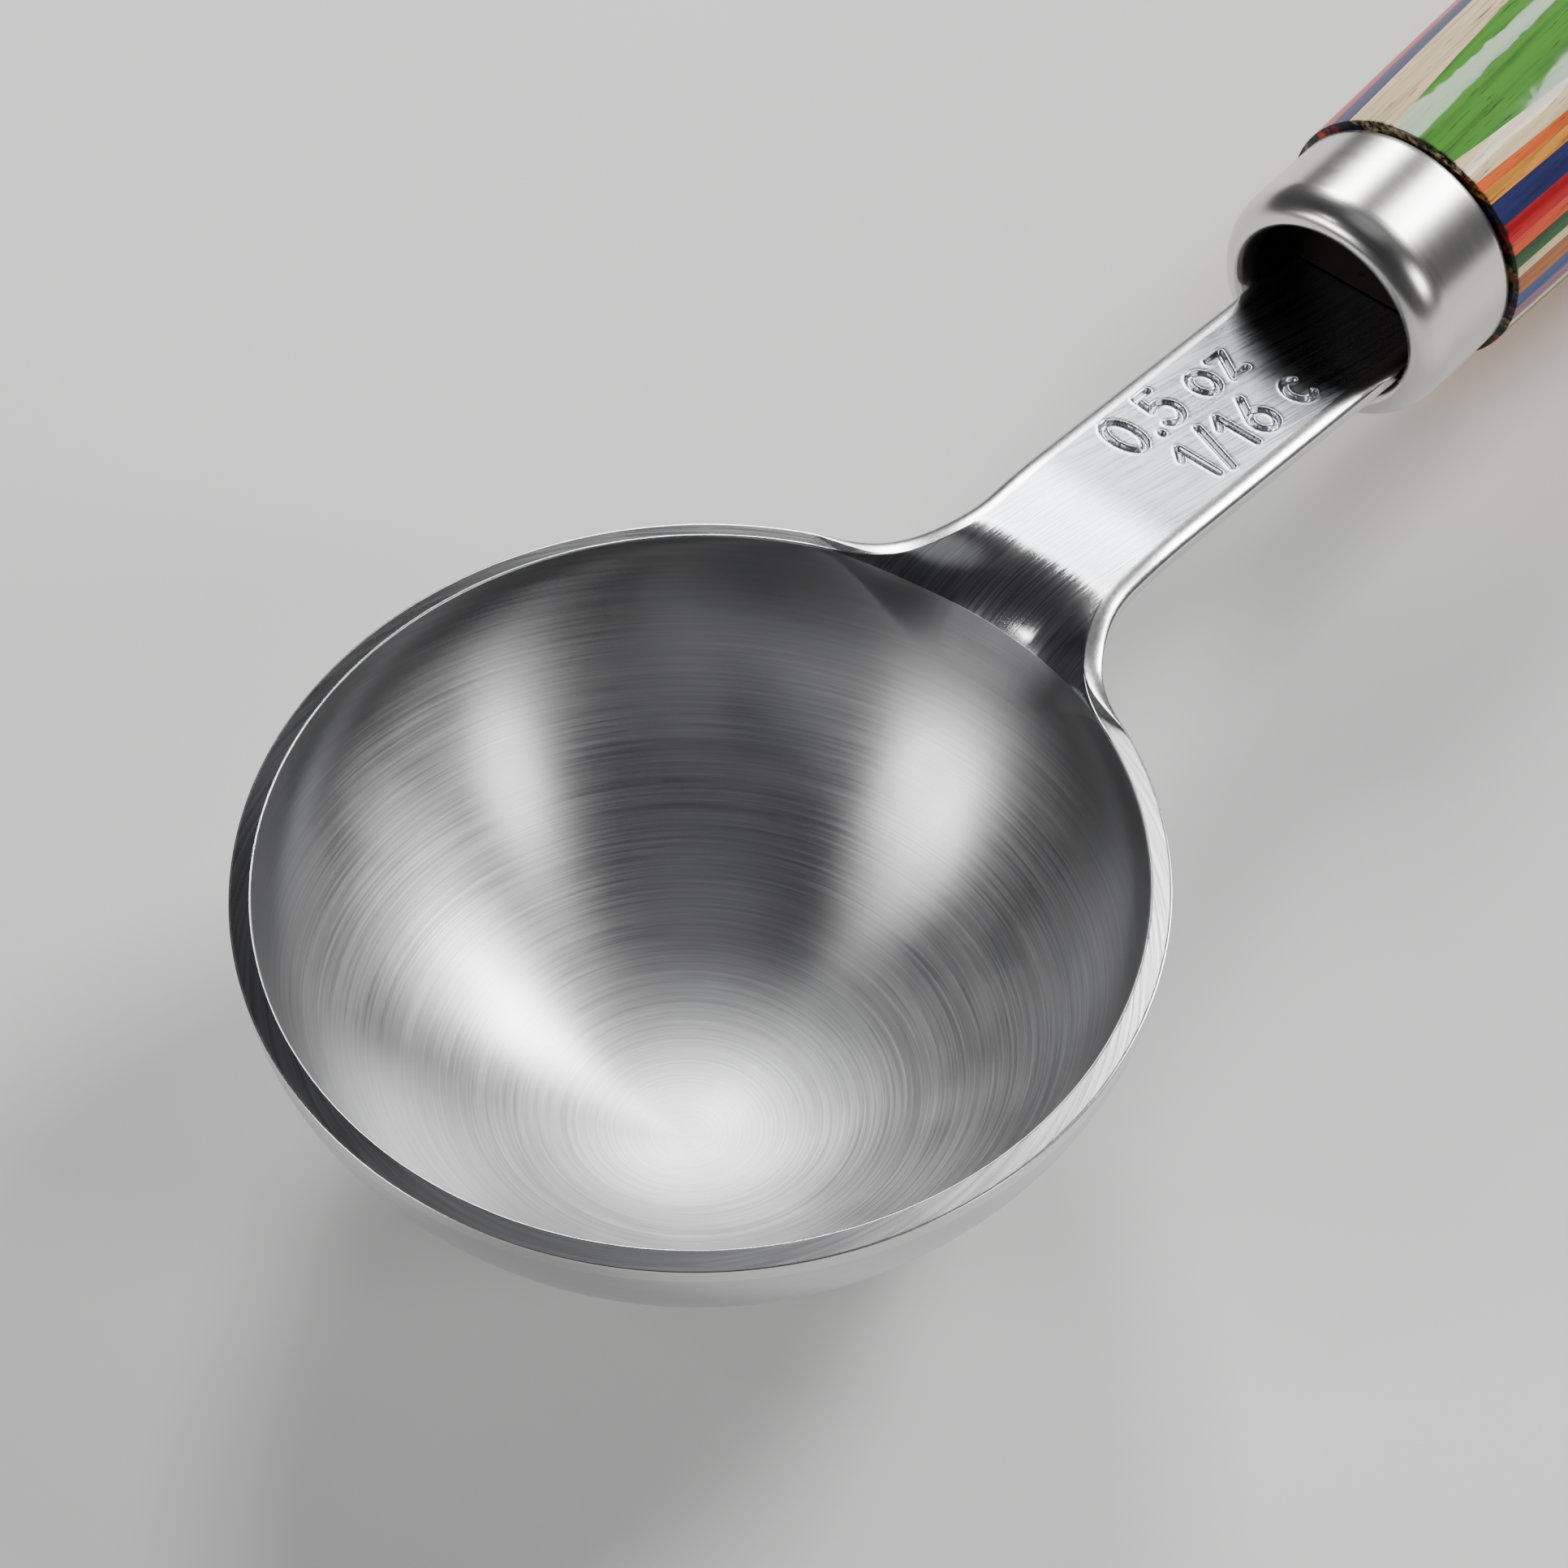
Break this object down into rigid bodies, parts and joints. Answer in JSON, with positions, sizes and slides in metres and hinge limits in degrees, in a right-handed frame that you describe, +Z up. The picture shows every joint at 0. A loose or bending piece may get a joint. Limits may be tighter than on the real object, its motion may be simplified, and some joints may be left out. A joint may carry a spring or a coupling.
{
  "type": "measuring spoon",
  "caption": "One tablespoon measure: round deep steel bowl on a flat strap neck, with a short rolled ferrule and a long round barrel handle of dyed plywood veneers.",
  "frame": {"origin": "middle of the length and width, at the height of the bowl's lowest point", "axes": "+X along the handle away from the bowl, +Z up out of the bowl, +Y to the left seen from the bowl"},
  "size_m": [0.19, 0.0446, 0.0246],
  "materials": {
    "bowl_steel": "brushed",
    "ferrule_steel": "polished",
    "wood_green": "satin lacquer",
    "wood_cream": "satin lacquer",
    "wood_orange": "satin lacquer",
    "wood_amber": "satin lacquer",
    "wood_navy": "satin lacquer",
    "wood_red": "satin lacquer",
    "wood_orange_red": "satin lacquer",
    "wood_dark_green": "satin lacquer",
    "wood_orange_brown": "satin lacquer",
    "wood_blue": "satin lacquer",
    "wood_mauve": "satin lacquer"
  },
  "bodies": {
    "root": {"bowl_and_neck": "bowl_steel", "ferrule": "ferrule_steel", "ply_01_green": "wood_green", "ply_02_cream": "wood_cream", "ply_03_orange_right": "wood_orange", "ply_04_amber_right": "wood_amber", "ply_05_cream_left": "wood_cream", "ply_06_navy": "wood_navy", "ply_07_red": "wood_red", "ply_08_orange_red": "wood_orange_red", "ply_09_dark_green": "wood_dark_green", "ply_10_cream": "wood_cream", "ply_11_orange_brown": "wood_orange_brown", "ply_12_blue": "wood_blue", "ply_13_mauve": "wood_mauve", "ply_14_cream": "wood_cream", "ply_15_green": "wood_green", "ply_16_orange": "wood_orange", "ply_17_red": "wood_red", "ply_18_navy": "wood_navy", "ply_19_cream": "wood_cream", "ply_20_green": "wood_green", "ply_21_amber": "wood_amber"}
  },
  "joints": []
}
